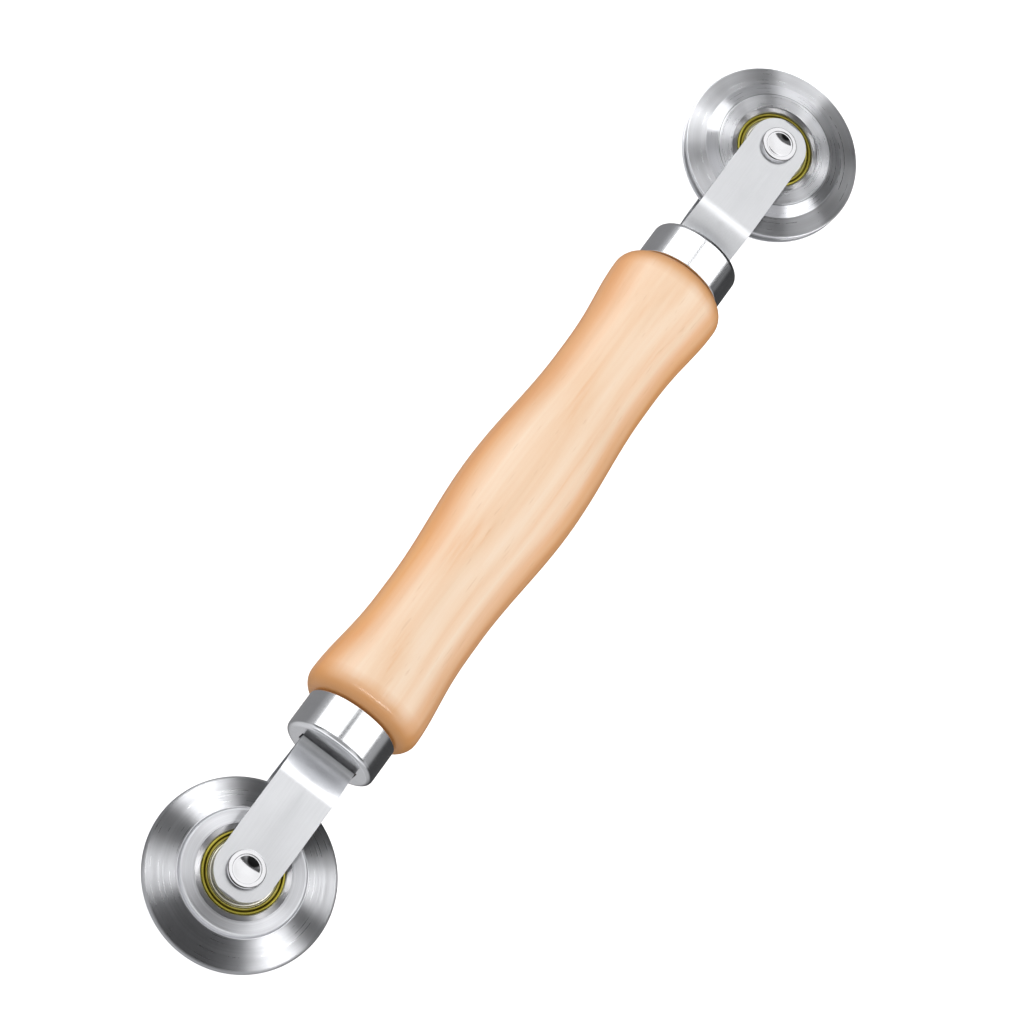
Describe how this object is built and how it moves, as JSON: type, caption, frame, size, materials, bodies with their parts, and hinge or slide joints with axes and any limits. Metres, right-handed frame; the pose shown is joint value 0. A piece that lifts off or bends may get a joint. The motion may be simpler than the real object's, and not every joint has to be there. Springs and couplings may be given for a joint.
{
  "type": "spline roller",
  "caption": "Double-ended hand roller: turned wooden handle with a steel fork on each end holding a ball-bearing wheel, one with a thin convex rim, one with a grooved rim.",
  "frame": {"origin": "middle of the handle, on its axis", "axes": "+X along the handle towards the grooved wheel, +Z along the wheels' axles, +Y across the handle"},
  "size_m": [0.2226, 0.0366, 0.0242],
  "materials": {
    "wood": "satin lacquered pale beech",
    "ferrule_steel": "polished",
    "fork_steel": "satin",
    "rivet_steel": "polished",
    "wheel_steel": "lathe-turned",
    "bearing_steel": "ground",
    "ball_steel": "polished",
    "shield_steel": "satin",
    "snap_ring_brass": "bright",
    "cage_nylon": "moulded",
    "zinc_steel": "zinc plated"
  },
  "bodies": {
    "frame": {"handle": "wood", "convex_ferrule": "ferrule_steel", "convex_fork": "fork_steel", "convex_tang_pin": "zinc_steel", "convex_axle_rivet": "rivet_steel", "convex_spacer_upper": "zinc_steel", "convex_spacer_lower": "zinc_steel", "convex_inner_race": "bearing_steel", "grooved_ferrule": "ferrule_steel", "grooved_fork": "fork_steel", "grooved_tang_pin": "zinc_steel", "grooved_axle_rivet": "rivet_steel", "grooved_spacer_upper": "zinc_steel", "grooved_spacer_lower": "zinc_steel", "grooved_inner_race": "bearing_steel"},
    "convex_wheel_body": {"convex_wheel": "wheel_steel", "convex_outer_race": "bearing_steel", "convex_shield_upper": "shield_steel", "convex_shield_lower": "shield_steel", "convex_snap_ring_upper": "snap_ring_brass", "convex_snap_ring_lower": "snap_ring_brass"},
    "convex_cage_body": {"convex_cage": "cage_nylon", "convex_ball_1": "ball_steel", "convex_ball_2": "ball_steel", "convex_ball_3": "ball_steel", "convex_ball_4": "ball_steel", "convex_ball_5": "ball_steel", "convex_ball_6": "ball_steel", "convex_ball_7": "ball_steel"},
    "grooved_wheel_body": {"grooved_wheel": "wheel_steel", "grooved_outer_race": "bearing_steel", "grooved_shield_upper": "shield_steel", "grooved_shield_lower": "shield_steel", "grooved_snap_ring_upper": "snap_ring_brass", "grooved_snap_ring_lower": "snap_ring_brass"},
    "grooved_cage_body": {"grooved_cage": "cage_nylon", "grooved_ball_1": "ball_steel", "grooved_ball_2": "ball_steel", "grooved_ball_3": "ball_steel", "grooved_ball_4": "ball_steel", "grooved_ball_5": "ball_steel", "grooved_ball_6": "ball_steel", "grooved_ball_7": "ball_steel"}
  },
  "joints": [
    {"name": "convex_wheel_spin", "type": "hinge", "parent": "frame", "child": "convex_wheel_body", "pos_m": [-0.093, 0, 0], "axis": [0, 0, 1], "continuous": true},
    {"name": "convex_cage_spin", "type": "hinge", "parent": "frame", "child": "convex_cage_body", "pos_m": [-0.093, 0, 0], "axis": [0, 0, 1], "continuous": true},
    {"name": "grooved_wheel_spin", "type": "hinge", "parent": "frame", "child": "grooved_wheel_body", "pos_m": [0.093, 0, 0], "axis": [0, 0, 1], "continuous": true},
    {"name": "grooved_cage_spin", "type": "hinge", "parent": "frame", "child": "grooved_cage_body", "pos_m": [0.093, 0, 0], "axis": [0, 0, 1], "continuous": true}
  ],
  "couplings": [
    {"joint": "convex_cage_spin", "follows": "convex_wheel_spin", "ratio": 0.64},
    {"joint": "grooved_cage_spin", "follows": "grooved_wheel_spin", "ratio": 0.64}
  ]
}
